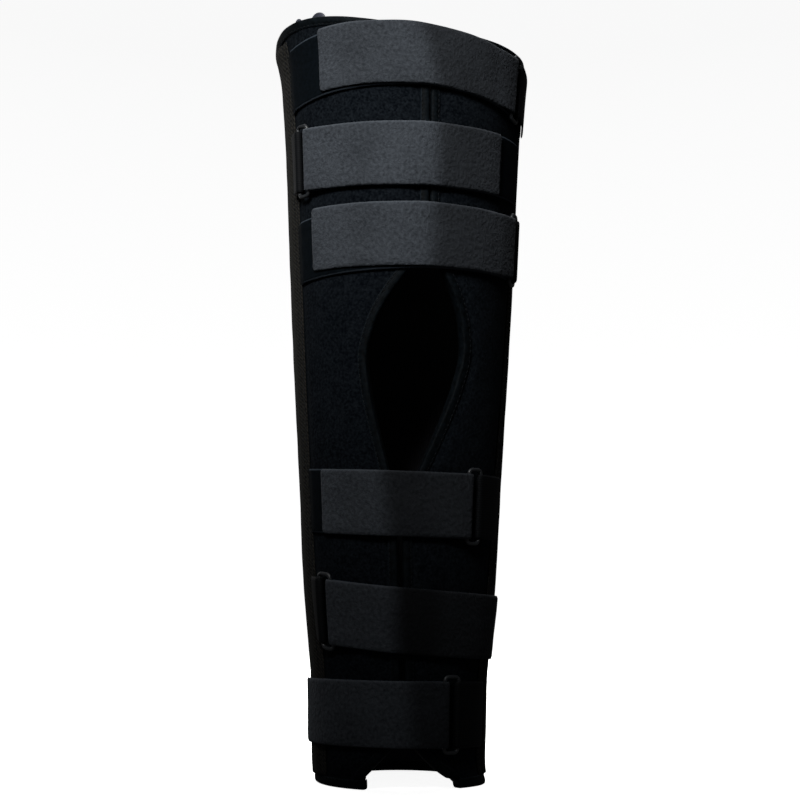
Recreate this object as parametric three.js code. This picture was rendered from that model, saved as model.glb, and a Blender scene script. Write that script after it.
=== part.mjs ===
// A knee immobilizer: a foam wrap that closes down the front with six straps, each led through a ring.
// Millimetres, +Z up. It stands on its lower rim and its front faces -Y.
// A place on the brace is an angle round it, 0 at the front and growing towards +X, a height over the
// floor, and a lift, the distance outwards from the foam's outer face.
import * as THREE from "three";

// Driving sizes: the wrap
const braceHeight = 584; // floor to the upper rim, at the front and the right
const thighWidth = 196; // across the foam near the upper rim
const ankleWidth = 130; // across the foam at the lower rim
const depthRatio = 0.96; // front to back, as a share of the width
const lean = 4; // how far the top stands to the right of the foot
const foamThickness = 6;
const highCornerRise = 20.5; // how much higher the upper rim stands at the left
const highCorner = { angle: -62, frontSpan: 88, backSpan: 56 }; // degrees
const flareHeight = 40; // the stretch under the upper rim that turns outwards
const leftFlare = 6;
const rightFlare = 1.5;
const clearance = 0.3; // between pieces that touch
const insideRest = 0.5; // more room inside, where flat facets stand in from the curve

// Driving sizes: the front edges, as lengths round the brace from the middle of its front
const thighClosure = 21.5;
const shinClosure = -0.5;
const footClosure = 4;
const shinGap = 3.6; // between the two tapes, under the opening
const thighGap = 1.6; // and over it
const openingBottom = 210;
const openingHeight = 211;
const openingWidth = 78;
const archHeight = 40;
const archWidth = 76;
const bindingThickness = 1;
const bindingWidth = 6;
const tapeEndGap = 1; // from a tape's edge to what ends at it

// Driving sizes: pockets, stays, straps and rings
const pocketWidth = 42;
const pocketThickness = 3.2;
const pocketEdgeThickness = 1.2;
const strapWidth = 50;
const strapThickness = 1.8;
const strapRest = 0.5; // from the tape to a strap that bends over it
const layerGap = 0.4; // between the two layers of a fastened strap
const settleLength = 22; // from a ring to where the strap lies flat on itself
const tabThickness = 1.4;
const barDiameter = 3;
const ringSlot = 11.8; // from the middle of one long bar to the middle of the other
const ringEndPlay = 2; // room past each edge of the strap
const ringCorner = 3.2;
const stayThickness = 2;
const staySeat = 18; // how far a stay tip reaches down inside the rim

// How finely curves are cut
const wrapColumns = 33;
const rowSpacing = 36;
const flareRows = 4;
const layerStep = 7.5; // degrees round the brace
const bendSteps = 7;
const barSides = 6;
const cornerSteps = 2;

// In the tables, at is the place that a row stands for.
// The wrap's outline, by shares of the brace's height: taper is 0 at the ankle's width and 1 at the
// thigh's, and front and back are the depths before and behind the middle, as shares of half the depth.
const outline = [
  { at: 0.0, taper: 0.0, front: 1.0, back: 1.0 },
  { at: 0.05, taper: 0.045, front: 1.0, back: 1.01 },
  { at: 0.15, taper: 0.1, front: 1.0, back: 1.05 },
  { at: 0.26, taper: 0.285, front: 0.99, back: 1.07 },
  { at: 0.39, taper: 0.41, front: 0.99, back: 1.04 },
  { at: 0.52, taper: 0.555, front: 1.01, back: 0.98 },
  { at: 0.66, taper: 0.7, front: 1.02, back: 0.97 },
  { at: 0.86, taper: 0.876, front: 1.0, back: 0.99 },
  { at: 0.954, taper: 0.99, front: 1.0, back: 1.0 },
  { at: 1.05, taper: 1.1, front: 1.0, back: 1.0 },
];

// The knee opening, by shares of its own height: spreads are shares of half its width.
const kneeOpening = [
  { at: 0.0, spread: 0.0 },
  { at: 0.17, spread: 0.33 },
  { at: 0.29, spread: 0.57 },
  { at: 0.41, spread: 0.8 },
  { at: 0.47, spread: 0.89 },
  { at: 0.53, spread: 0.97 },
  { at: 0.59, spread: 1.0 },
  { at: 0.65, spread: 0.95 },
  { at: 0.71, spread: 0.87 },
  { at: 0.77, spread: 0.73 },
  { at: 0.82, spread: 0.58 },
  { at: 0.88, spread: 0.37 },
  { at: 0.94, spread: 0.18 },
  { at: 1.0, spread: 0.0 },
];

// The arch over the foot, by shares of its own height: left and right are shares of its width.
const footArch = [
  { at: 0.0, left: 0.41, right: 0.62 },
  { at: 0.17, left: 0.42, right: 0.54 },
  { at: 0.25, left: 0.415, right: 0.465 },
  { at: 0.4, left: 0.325, right: 0.335 },
  { at: 0.6, left: 0.215, right: 0.21 },
  { at: 0.78, left: 0.12, right: 0.12 },
  { at: 1.0, left: 0.0, right: 0.0 },
];

// The front edges of the two stay pockets, in degrees, by shares of the brace's height.
const pocketEdges = [
  { at: 0.0, left: -57, right: 65 },
  { at: 0.16, left: -57.5, right: 66 },
  { at: 0.38, left: -63.3, right: 71 },
  { at: 0.7, left: -63.3, right: 79.5 },
  { at: 0.86, left: -64.5, right: 83.5 },
  { at: 1.0, left: -67, right: 87 },
];

// A pocket across its width, by shares of it: how full it is there.
const pocketProfile = [
  { at: 0.0, full: 0 },
  { at: 0.14, full: 0.9 },
  { at: 0.38, full: 1 },
  { at: 0.62, full: 1 },
  { at: 0.86, full: 0.9 },
  { at: 1.0, full: 0 },
];

// The wrap's columns, by shares of their number: how far round they stand. They crowd at the high corner.
const crowding = [
  { at: 0.0, round: 0.0 },
  { at: 0.58, round: 0.67 },
  { at: 0.87, round: 0.835 },
  { at: 1.0, round: 1.0 },
];

// The straps: height is a share of the brace's at the front, tilt is in degrees and lowers the right
// side, and droop is how much lower a strap lies on both sides, as a share of its width, one width from
// the front. Slip is how much lower its sewn end lies than the layer over it, as the same share. The ring
// is on the side named, and fold and end are the angles of the strap's turn and its free end.
const straps = [
  {
    name: "thigh_strap_upper", side: 1, fold: 61.6, end: -39.8,
    height: 0.97, tilt: 2.05, droop: 0.03, slip: 0.08,
  },
  {
    name: "thigh_strap_middle", side: -1, fold: -51.9, end: 52.8,
    height: 0.833, tilt: 1.1, droop: -0.012, slip: 0,
  },
  {
    name: "thigh_strap_lower", side: 1, fold: 68.9, end: -47.8,
    height: 0.725, tilt: 0.6, droop: -0.004, slip: 0.15,
  },
  {
    name: "shin_strap_upper", side: 1, fold: 41.9, end: -46.8,
    height: 0.3705, tilt: 2.06, droop: -0.009, slip: 0,
  },
  {
    name: "shin_strap_middle", side: -1, fold: -44.8, end: 92,
    height: 0.2195, tilt: 5.5, droop: -0.01, slip: 0,
  },
  {
    name: "shin_strap_lower", side: 1, fold: 31.8, end: -93,
    height: 0.0985, tilt: 1, droop: 0.016, slip: 0,
  },
];

// The two stay tips: how wide each is and how far it stands over the rim.
const stayTips = [
  { name: "front_stay_tip", angle: -46.4, width: 17, rise: 7.1 },
  { name: "side_stay_tip", angle: -62.8, width: 12, rise: 8 },
];

// Lifts that follow from the thicknesses
const bindingLift = clearance + bindingThickness;
const edgeRest = bindingLift; // a foam edge stands this far back from its tape's outer face
const pocketTop = clearance + pocketThickness;
const baseLift = bindingLift + strapRest;
const returnLift = Math.max(baseLift + strapThickness + layerGap, pocketTop + clearance);
const barRadius = barDiameter / 2;
const barLift = baseLift + strapThickness + clearance + barRadius;

const degrees = Math.PI / 180;
const { lerp, clamp } = THREE.MathUtils;

const materials = {
  foam: finish("foam", 0x14171b, 0.95),
  binding: finish("binding", 0x1d2125, 0.75),
  pocket: finish("pocket", 0x27241f, 0.85),
  strap: finish("strap", 0x34383d, 0.9),
  webbing: finish("webbing", 0x222528, 0.8),
  ring: finish("ring", 0x0e0f10, 0.35),
  stay: finish("stay", 0x5d5a66, 0.5),
};

function finish(name, color, roughness) {
  return new THREE.MeshStandardMaterial({ name, color, roughness, metalness: 0 });
}

// The row of a table that a value falls behind, and how far it is towards the next one.
function findRow(rows, value) {
  let index = 0;
  while (index < rows.length - 2 && rows[index + 1].at <= value) index++;
  const span = rows[index + 1].at - rows[index].at;
  return { index, share: clamp((value - rows[index].at) / span, 0, 1), span };
}

function readStraight(rows, column, value) {
  const { index, share } = findRow(rows, value);
  return lerp(rows[index][column], rows[index + 1][column], share);
}

// Reads a column on a smooth curve through its rows.
function readSmooth(rows, column, value) {
  const { index, share, span } = findRow(rows, value);
  const slope = (row) => {
    const low = Math.max(row - 1, 0);
    const high = Math.min(row + 1, rows.length - 1);
    return (rows[high][column] - rows[low][column]) / (rows[high].at - rows[low].at);
  };
  const start = rows[index][column];
  const rise = rows[index + 1][column] - start;
  const first = slope(index) * span;
  const last = slope(index + 1) * span;
  const bend = 3 * rise - 2 * first - last;
  const twist = first + last - 2 * rise;
  return start + share * (first + share * (bend + share * twist));
}

function halfWidth(height) {
  return lerp(ankleWidth, thighWidth, readSmooth(outline, "taper", height / braceHeight)) / 2;
}

// A length round the brace as an angle, at a height.
function turn(length, height) {
  return length / halfWidth(height);
}

// How much higher the upper rim stands at an angle: a smooth hump at the high corner.
function rimRise(angle) {
  const apart = angle - highCorner.angle * degrees;
  const past = Math.atan2(Math.sin(apart), Math.cos(apart));
  const span = (past > 0 ? highCorner.frontSpan : highCorner.backSpan) * degrees;
  const share = clamp(Math.abs(past) / span, 0, 1);
  return (highCornerRise * (1 + Math.cos(Math.PI * share))) / 2;
}

function rimHeight(angle) {
  return braceHeight + rimRise(angle);
}

// The sides turn outwards under the upper rim.
function flare(angle, height) {
  const share = clamp((height - rimHeight(angle)) / flareHeight + 1, 0, 1);
  const sideways = Math.sin(angle);
  return (sideways < 0 ? leftFlare : rightFlare) * share ** 2 * sideways ** 2;
}

// The point at an angle, a height and a lift from the foam's outer face.
function place(angle, height, lift) {
  const share = height / braceHeight;
  const width = halfWidth(height) + flare(angle, height);
  const half = Math.cos(angle) > 0 ? "front" : "back";
  const depth = width * depthRatio * readSmooth(outline, half, share);
  const outwards = new THREE.Vector2(Math.sin(angle) / width, -Math.cos(angle) / depth).normalize();
  const middle = lean * (share - 0.5);
  return new THREE.Vector3(
    middle + width * Math.sin(angle) + outwards.x * lift,
    -depth * Math.cos(angle) + outwards.y * lift,
    height,
  );
}

// The line where the two flaps meet.
function closureLine(height) {
  const line = [
    { at: archHeight, middle: footClosure },
    { at: openingBottom, middle: shinClosure },
    { at: openingBottom + openingHeight, middle: thighClosure },
  ];
  return readStraight(line, "middle", height);
}

function openingSpread(height) {
  const share = (height - openingBottom) / openingHeight;
  return share < 0 || share > 1 ? 0 : (readStraight(kneeOpening, "spread", share) * openingWidth) / 2;
}

function archSpread(height, side) {
  const share = height / archHeight;
  return share > 1 ? 0 : readStraight(footArch, side, share) * archWidth;
}

// The length from the middle of the front to a flap's foam edge.
function flapEdge(height, side) {
  const column = side < 0 ? "left" : "right";
  const gap = height < openingBottom + openingHeight / 2 ? shinGap : thighGap;
  const open = Math.max(gap / 2, openingSpread(height), archSpread(height, column));
  return closureLine(height) + side * (open + edgeRest);
}

function pocketFront(side, height) {
  return readStraight(pocketEdges, side < 0 ? "left" : "right", height / braceHeight) * degrees;
}

// Splits the stretches between marks so that none is longer than a step.
function spaced(marks, step) {
  const all = [marks[0]];
  for (let i = 1; i < marks.length; i++) {
    const count = Math.max(1, Math.ceil((marks[i] - marks[i - 1]) / step - 1e-6));
    for (let k = 1; k <= count; k++) all.push(lerp(marks[i - 1], marks[i], k / count));
  }
  return all;
}

// The heights of the wrap's rows: each row of the arch and the opening, and the flare's.
function wrapRows() {
  const arch = footArch.slice(1).map((row) => row.at * archHeight);
  const opening = kneeOpening.map((row) => openingBottom + row.at * openingHeight);
  const flareStart = braceHeight - flareHeight;
  const marks = [edgeRest, ...arch, ...opening, flareStart];
  for (let i = 1; i <= flareRows; i++) marks.push(flareStart + (flareHeight * i) / flareRows);
  return spaced(marks, rowSpacing);
}

// Leaves out rows that are closer than a step to the one before, below the flare.
function thinned(rows, step) {
  const kept = [rows[0]];
  for (const row of rows.slice(1)) {
    if (row - kept.at(-1) >= step || row > braceHeight - flareHeight) kept.push(row);
  }
  return kept;
}

// The rows from the edge of the lower rim's tape to the edge of the upper rim's.
function rowsBetweenTapes(rows) {
  const bottom = edgeRest + bindingWidth + tapeEndGap;
  const top = braceHeight - bindingWidth - tapeEndGap;
  return [bottom, ...rows.filter((row) => row > bottom + clearance && row < top - clearance), top];
}

// Rows near the upper rim follow its rise.
function raisedRow(row, angle) {
  const start = braceHeight - 1.5 * flareHeight;
  return row + rimRise(angle) * clamp((row - start) / (braceHeight - start), 0, 1);
}

// A closed mesh from vertices and triangles, turned so that its faces point out.
function closedMesh(name, material, points, triangles) {
  let volume = 0;
  for (const [a, b, c] of triangles) volume += points[a].dot(points[b].clone().cross(points[c]));
  const faces = volume > 0 ? triangles : triangles.map(([a, b, c]) => [a, c, b]);
  const geometry = new THREE.BufferGeometry().setFromPoints(points);
  geometry.setIndex(faces.flat());
  geometry.computeVertexNormals();
  const mesh = new THREE.Mesh(geometry, material);
  mesh.name = name;
  return mesh;
}

// A sheet with thickness, from two grids of points that face each other.
function thickSheet(name, material, outer, inner) {
  const rows = outer.length;
  const columns = outer[0].length;
  const points = [...outer.flat(), ...inner.flat()];
  const out = (row, column) => row * columns + column;
  const inside = (row, column) => rows * columns + out(row, column);
  const triangles = [];
  const quad = (a, b, c, d) => triangles.push([a, b, c], [a, c, d]);
  for (let r = 0; r < rows - 1; r++) {
    for (let c = 0; c < columns - 1; c++) {
      quad(out(r, c), out(r, c + 1), out(r + 1, c + 1), out(r + 1, c));
      quad(inside(r, c), inside(r + 1, c), inside(r + 1, c + 1), inside(r, c + 1));
    }
    quad(out(r, 0), out(r + 1, 0), inside(r + 1, 0), inside(r, 0));
    quad(out(r + 1, columns - 1), out(r, columns - 1), inside(r, columns - 1), inside(r + 1, columns - 1));
  }
  for (let c = 0; c < columns - 1; c++) {
    quad(out(0, c + 1), out(0, c), inside(0, c), inside(0, c + 1));
    quad(out(rows - 1, c), out(rows - 1, c + 1), inside(rows - 1, c + 1), inside(rows - 1, c));
  }
  return closedMesh(name, material, points, triangles);
}

// A bar of round section bent into a closed loop. Each stop is a point and the direction off the skin.
function closedBar(name, material, stops, radius) {
  const count = stops.length;
  const points = [];
  stops.forEach((stop, i) => {
    const next = stops[(i + 1) % count].point;
    const last = stops[(i + count - 1) % count].point;
    const along = next.clone().sub(last).normalize();
    const across = stop.out.clone().cross(along).normalize();
    const out = along.clone().cross(across);
    for (let k = 0; k < barSides; k++) {
      const angle = (2 * Math.PI * k) / barSides;
      const offset = out.clone().multiplyScalar(Math.cos(angle)).addScaledVector(across, Math.sin(angle));
      points.push(stop.point.clone().addScaledVector(offset, radius));
    }
  });
  const triangles = [];
  for (let i = 0; i < count; i++) {
    for (let k = 0; k < barSides; k++) {
      const [a, b] = [i * barSides + k, i * barSides + ((k + 1) % barSides)];
      const shift = ((i + 1) % count) * barSides - i * barSides;
      triangles.push([a, b, b + shift], [a, b + shift, a + shift]);
    }
  }
  return closedMesh(name, material, points, triangles);
}

// The angles round the wrap, from the right flap's edge round the back to the left flap's edge. The
// columns next to an edge are as wide as the tape that is folded over it.
function wrapAngles(height, past = 0) {
  const angleAt = (side, length) => turn(flapEdge(height, side) + side * length, height);
  const right = angleAt(1, bindingWidth);
  const left = angleAt(-1, bindingWidth) + 2 * Math.PI;
  const between = Array.from({ length: wrapColumns - 1 }, (_, k) =>
    lerp(right, left, readStraight(crowding, "round", k / (wrapColumns - 2))),
  );
  return [angleAt(1, -past), ...between, angleAt(-1, -past) + 2 * Math.PI];
}

function makeWrap() {
  const grid = (lift) =>
    wrapRows().map((row) => wrapAngles(row).map((angle) => place(angle, raisedRow(row, angle), lift)));
  return thickSheet("wrap", materials.foam, grid(0), grid(-foamThickness));
}

// The tape over a rim is folded round the foam's edge: out and rise are its two faces' places.
function foldedTape(out, rise) {
  return [
    { lift: out, rise: -bindingWidth },
    { lift: out, rise },
    { lift: -foamThickness - insideRest - out, rise },
    { lift: -foamThickness - insideRest - out, rise: -bindingWidth },
  ];
}

function makeRimBinding(name, rim, upwards, row) {
  const tape = (out) =>
    wrapAngles(row, edgeRest).map((angle) =>
      foldedTape(out, out).map((corner) => place(angle, rim(angle) + upwards * corner.rise, corner.lift)),
    );
  return thickSheet(name, materials.binding, tape(bindingLift), tape(clearance));
}

// The tape down a flap's front edge keeps its width square to the edge, round the opening and the arch.
function makeFlapBinding(name, side) {
  const heights = rowsBetweenTapes(wrapRows());
  const edge = heights.map((height) => new THREE.Vector2(flapEdge(height, side), height));
  const inwards = edge.map((_, i) => {
    if (i === 0 || i === edge.length - 1) return new THREE.Vector2(side, 0);
    const along = edge[i + 1].clone().sub(edge[i - 1]).normalize();
    return new THREE.Vector2(along.y * side, -along.x * side);
  });
  const tape = (out) =>
    edge.map((point, i) =>
      foldedTape(out, out).map((corner) => {
        const at = point.clone().addScaledVector(inwards[i], -corner.rise);
        return place(turn(at.x, at.y), at.y, corner.lift);
      }),
    );
  return thickSheet(name, materials.binding, tape(bindingLift), tape(clearance));
}

function makePocket(name, side) {
  const rows = rowsBetweenTapes(thinned(wrapRows(), 0.6 * rowSpacing));
  const top = rows.at(-1);
  const grid = (liftOf) =>
    rows.map((row) =>
      pocketProfile.map(({ at, full }) => {
        const across = side * turn(at * pocketWidth, row);
        const level = raisedRow(row, pocketFront(side, row) + across);
        const angle = pocketFront(side, level) + across;
        const height = row === top ? top + rimRise(angle) : raisedRow(row, angle);
        return place(angle, height, liftOf(full));
      }),
    );
  const outer = grid((full) => clearance + lerp(pocketEdgeThickness, pocketThickness, full));
  return thickSheet(name, materials.pocket, outer, grid(() => clearance));
}

// A strap's middle line: its height at an angle, which its ring and its tab share.
function strapHeight(strap, angle) {
  const reach = halfWidth(strap.height * braceHeight) * angle;
  const tilt = Math.tan(strap.tilt * degrees) * reach;
  const droop = strap.droop * strapWidth * (reach / strapWidth) ** 2;
  return strap.height * braceHeight - tilt - droop;
}

// The angle, seen from a round bar, at which a straight run from a point touches a layer bent round it.
function touchAngle(point, radius, way) {
  const fromBar = new THREE.Vector2(point.x, point.y - barLift);
  const opening = Math.acos(radius / fromBar.length());
  return fromBar.angle() + way * opening;
}

// A layer that comes from its start, bends round a bar and goes back over itself to its end.
// x counts from the bar's middle and grows past the bar, y is the lift of the layer's middle.
function bendRoundBar(start, settle, end, radius) {
  const low = touchAngle(start, radius, 1) - 2 * Math.PI;
  const high = touchAngle(settle, radius, -1);
  const route = [start];
  for (let k = 0; k <= bendSteps; k++) {
    const angle = lerp(low, high, k / bendSteps);
    route.push(new THREE.Vector2(radius * Math.cos(angle), barLift + radius * Math.sin(angle)));
  }
  return [...route, settle, end];
}

// Adds points to the long runs of a route, so that they bend with the brace.
function subdivide(route, step) {
  const all = [route[0]];
  for (let i = 1; i < route.length; i++) {
    const count = Math.max(1, Math.ceil(route[i].distanceTo(route[i - 1]) / step - 1e-6));
    for (let k = 1; k <= count; k++) all.push(route[i - 1].clone().lerp(route[i], k / count));
  }
  return all;
}

// A layer of cloth along a route, with its thickness to both sides. Its ends follow the pocket's edge
// where they start or stop at one, and slip lowers the start.
function makeLayer(name, material, strap, bar, way, route, thickness, ends) {
  const radius = halfWidth(strap.height * braceHeight);
  const stops = subdivide(route, layerStep * degrees * radius);
  const reach = Math.abs(stops[0].x);
  const firstHalf = (index) => index < stops.length / 2;
  const towardsEnd = (x) => clamp(-x / reach, 0, 1);
  const slide = (height, across, x, index) => {
    if (!(firstHalf(index) ? ends.start : ends.finish)) return 0;
    return (pocketFront(-way, height + across) - pocketFront(-way, height)) * towardsEnd(x);
  };
  const face = (offset) =>
    stops.map((stop, i) => {
      const before = stops[Math.max(i - 1, 0)];
      const after = stops[Math.min(i + 1, stops.length - 1)];
      const along = after.clone().sub(before).normalize();
      const at = stop.clone().add(new THREE.Vector2(-along.y, along.x).multiplyScalar(offset));
      const angle = bar + (way * at.x) / radius;
      const slip = firstHalf(i) ? ends.slip * strapWidth * towardsEnd(at.x) : 0;
      const height = strapHeight(strap, angle) - slip;
      return [-0.5, 0.5].map((share) => {
        const across = share * strapWidth;
        return place(angle + slide(height, across, at.x, i), height + across, at.y);
      });
    });
  return thickSheet(name, material, face(thickness / 2), face(-thickness / 2));
}

// The angle of the long bar that a strap turns round, and of the bar that its tab holds.
function ringBars(strap) {
  const height = strap.height * braceHeight;
  const turnRadius = barRadius + clearance + strapThickness;
  const front = strap.fold * degrees - strap.side * turn(turnRadius, height);
  return { front, back: front + strap.side * turn(ringSlot, height) };
}

function makeStrap(strap) {
  const height = strap.height * braceHeight;
  const radius = halfWidth(height);
  const bar = ringBars(strap).front;
  const under = pocketFront(-strap.side, height);
  const sewn = pocketFront(-strap.side, strapHeight(strap, under) - strap.slip * strapWidth);
  const start = -Math.abs(bar - sewn) * radius + clearance;
  const end = -Math.abs(bar - strap.end * degrees) * radius;
  const low = new THREE.Vector2(start, baseLift + strapThickness / 2);
  const settle = new THREE.Vector2(-settleLength, returnLift + strapThickness / 2);
  const freeEnd = new THREE.Vector2(end, settle.y);
  const route = bendRoundBar(low, settle, freeEnd, barRadius + clearance + strapThickness / 2);
  return makeLayer(strap.name, materials.strap, strap, bar, strap.side, route, strapThickness, {
    start: true,
    finish: false,
    slip: strap.slip,
  });
}

// The tab comes from under the pocket, goes round the ring's other bar and back.
function makeTab(strap) {
  const height = strap.height * braceHeight;
  const bar = ringBars(strap).back;
  const edge = pocketFront(strap.side, strapHeight(strap, bar));
  const reach = -Math.abs(edge - bar) * halfWidth(height) + clearance;
  const low = new THREE.Vector2(reach, baseLift + tabThickness / 2);
  const high = new THREE.Vector2(reach, low.y + tabThickness + clearance);
  const route = bendRoundBar(low, high, high, barRadius + clearance + tabThickness / 2);
  const name = strap.name.replace("strap", "ring_tab");
  return makeLayer(name, materials.webbing, strap, bar, -strap.side, route.slice(0, -1), tabThickness, {
    start: true,
    finish: true,
    slip: 0,
  });
}

// A rectangular ring with round corners, whose long bars lie along the edges of strap and tab.
function makeRing(strap) {
  const height = strap.height * braceHeight;
  const bars = ringBars(strap);
  const middle = (bars.front + bars.back) / 2;
  const halfAcross = ringSlot / 2;
  const halfLong = strapWidth / 2 + ringEndPlay + barRadius;
  const corners = [
    { x: 1, y: 1, turn: 0 },
    { x: -1, y: 1, turn: 90 },
    { x: -1, y: -1, turn: 180 },
    { x: 1, y: -1, turn: 270 },
  ];
  const stops = corners.flatMap((corner) =>
    Array.from({ length: cornerSteps + 1 }, (_, k) => {
      const angle = (corner.turn + (90 * k) / cornerSteps) * degrees;
      const along = corner.x * (halfAcross - ringCorner) + ringCorner * Math.cos(angle);
      const up = corner.y * (halfLong - ringCorner) + ringCorner * Math.sin(angle);
      const around = middle + turn(along, height);
      const level = strapHeight(strap, around) + up;
      const point = place(around, level, barLift);
      return { point, out: place(around, level, barLift + 1).sub(point) };
    }),
  );
  return closedBar(strap.name.replace("strap", "ring"), materials.ring, stops, barRadius);
}

// A stay's rounded end, held against the inside of the rim.
function makeStayTip(tip) {
  const seat = -foamThickness - insideRest - bindingLift - 2 * clearance;
  const steps = 8;
  const across = Array.from({ length: steps + 1 }, (_, k) => -1 + (2 * k) / steps);
  const grid = (lift) =>
    [0, 1].map((upper) =>
      across.map((share) => {
        const angle = tip.angle * degrees + turn((share * tip.width) / 2, braceHeight);
        const rim = rimHeight(tip.angle * degrees);
        const round = (tip.width / 3) * (Math.sqrt(1.05 - share ** 2) - 1);
        return place(angle, upper ? rim + bindingLift + tip.rise + round : rim - staySeat, lift);
      }),
    );
  return thickSheet(tip.name, materials.stay, grid(seat), grid(seat - stayThickness));
}

const brace = new THREE.Group();
brace.add(
  makeWrap(),
  makeRimBinding("top_binding", rimHeight, 1, braceHeight),
  makeRimBinding("bottom_binding", () => edgeRest, -1, edgeRest),
  makeFlapBinding("left_flap_binding", -1),
  makeFlapBinding("right_flap_binding", 1),
  makePocket("left_stay_pocket", -1),
  makePocket("right_stay_pocket", 1),
  ...straps.flatMap((strap) => [makeStrap(strap), makeRing(strap), makeTab(strap)]),
  ...stayTips.map(makeStayTip),
);

// The origin is on the floor, under the middle of everything.
const box = new THREE.Box3().setFromObject(brace, true);
const middle = box.getCenter(new THREE.Vector3());
brace.position.set(-middle.x, -middle.y, -box.min.z);

const kneeImmobilizer = new THREE.Group();
kneeImmobilizer.add(brace);

export default kneeImmobilizer;
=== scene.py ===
import math

import bpy
import numpy as np
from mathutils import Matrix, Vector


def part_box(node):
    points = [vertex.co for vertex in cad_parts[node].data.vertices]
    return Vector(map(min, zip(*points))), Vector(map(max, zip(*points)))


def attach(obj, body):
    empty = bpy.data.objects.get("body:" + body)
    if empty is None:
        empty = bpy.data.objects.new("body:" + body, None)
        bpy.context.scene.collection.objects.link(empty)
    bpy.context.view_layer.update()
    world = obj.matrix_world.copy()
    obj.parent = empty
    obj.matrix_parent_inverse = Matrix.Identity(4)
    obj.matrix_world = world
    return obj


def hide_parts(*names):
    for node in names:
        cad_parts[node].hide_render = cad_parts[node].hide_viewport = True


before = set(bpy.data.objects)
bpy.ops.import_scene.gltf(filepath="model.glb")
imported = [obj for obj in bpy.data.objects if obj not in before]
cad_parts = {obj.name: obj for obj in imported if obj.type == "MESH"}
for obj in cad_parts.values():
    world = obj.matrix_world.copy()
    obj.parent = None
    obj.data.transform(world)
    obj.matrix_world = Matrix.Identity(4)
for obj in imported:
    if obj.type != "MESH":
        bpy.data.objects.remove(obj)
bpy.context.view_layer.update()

# Camera, light and floor
# The camera stands 1.2 m in front of the brace, level with the shin, and looks a little up. A soft light
# hangs high in front on the left with its beam on the thigh, so that the brace grows darker downwards and
# to the right. Weaker ones light its back, its left side and its inside. It stands in a round white cove,
# which only the camera sees, so the cove lights nothing.
MM = 0.001
DEGREE = math.pi / 180
ankle_width = 130
thigh_width = 196
depth_ratio = 0.96
lean = 4
tape_lift = 1.3
camera_distance = 1200
camera_height = 164
camera_aside = -0.5
camera_pitch = 6.7
focal_pixels = 1470
image_side = 800
cove_radius = 4200
cove_bend = 1500
cove_height = 5000
cove_sides = 96

foot_low, foot_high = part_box("bottom_binding")
axis = np.array([
    (foot_low.x + foot_high.x) / 2 + lean / 2 * MM,
    foot_high.y - (ankle_width / 2 * depth_ratio + tape_lift) * MM,
    0.0,
])


def linear(code):
    """An sRGB hex value as the linear colour that Blender works with."""
    parts = [int(code[i:i + 2], 16) / 255 for i in (1, 3, 5)]
    parts = [c / 12.92 if c <= 0.04045 else ((c + 0.055) / 1.055) ** 2.4 for c in parts]
    return (*parts, 1.0)


def add_node(tree, kind, sockets=None, **settings):
    """Adds a node: settings are its own, and sockets take a value or a link from another node."""
    node = tree.nodes.new(kind)
    for name, value in settings.items():
        setattr(node, name, value)
    for name, value in (sockets or {}).items():
        if isinstance(value, bpy.types.NodeSocket):
            tree.links.new(value, node.inputs[name])
        else:
            node.inputs[name].default_value = value
    return node


def new_material(name, **surface):
    """A material with its shader: surface holds the shader's sockets, with spaces written as _."""
    material = bpy.data.materials.new(name)
    material.use_nodes = True
    tree = material.node_tree
    shader = tree.nodes["Principled BSDF"]
    for socket, value in surface.items():
        shader.inputs[socket.replace("_", " ")].default_value = value
    return material, tree, shader


def link_object(name, data):
    piece = bpy.data.objects.new(name, data)
    bpy.context.scene.collection.objects.link(piece)
    return piece


camera = link_object("camera", bpy.data.cameras.new("camera"))
camera.data.lens = camera.data.sensor_width * focal_pixels / image_side
camera.location = (axis[0] + camera_aside * MM, axis[1] - camera_distance * MM, camera_height * MM)
camera.rotation_euler = ((90 + camera_pitch) * DEGREE, 0, 0)
bpy.context.scene.camera = camera


def add_area_light(name, place, aim, size, power):
    """A square soft light at a place, in metres, that looks at its aim."""
    light = link_object(name, bpy.data.lights.new(name, "AREA"))
    light.data.size = size
    light.data.energy = power
    light.location = place
    x, y, z = np.array(aim) - np.array(place)
    light.rotation_euler = (math.atan2(math.hypot(x, y), -z), 0, math.atan2(y, x) - math.pi / 2)
    return light


high_light = add_area_light("high_left_light", (-0.25, -0.76, 0.95), (0.0, 0.0, 0.485), size=0.30, power=0.98)
high_light.data.spread = 43 * DEGREE
add_area_light("back_light", (0.1, 1.5, 1.0), (0.0, 0.0, 0.3), size=0.4, power=36)
add_area_light("back_left_light", (-0.9, 1.0, 0.7), (0.0, 0.0, 0.3), size=0.8, power=2)
add_area_light("overhead_light", (0.0, 0.9, 2.6), (0.0, 0.5, 0.0), size=2.0, power=25)

world = bpy.data.worlds.new("studio_air")
world.use_nodes = True
world.node_tree.nodes["Background"].inputs["Color"].default_value = linear("#f4f5f7")
world.node_tree.nodes["Background"].inputs["Strength"].default_value = 0.05
bpy.context.scene.world = world
# Plain film, with no tone curve: white board stays white next to black cloth.
bpy.context.scene.view_settings.view_transform = "Standard"

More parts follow.
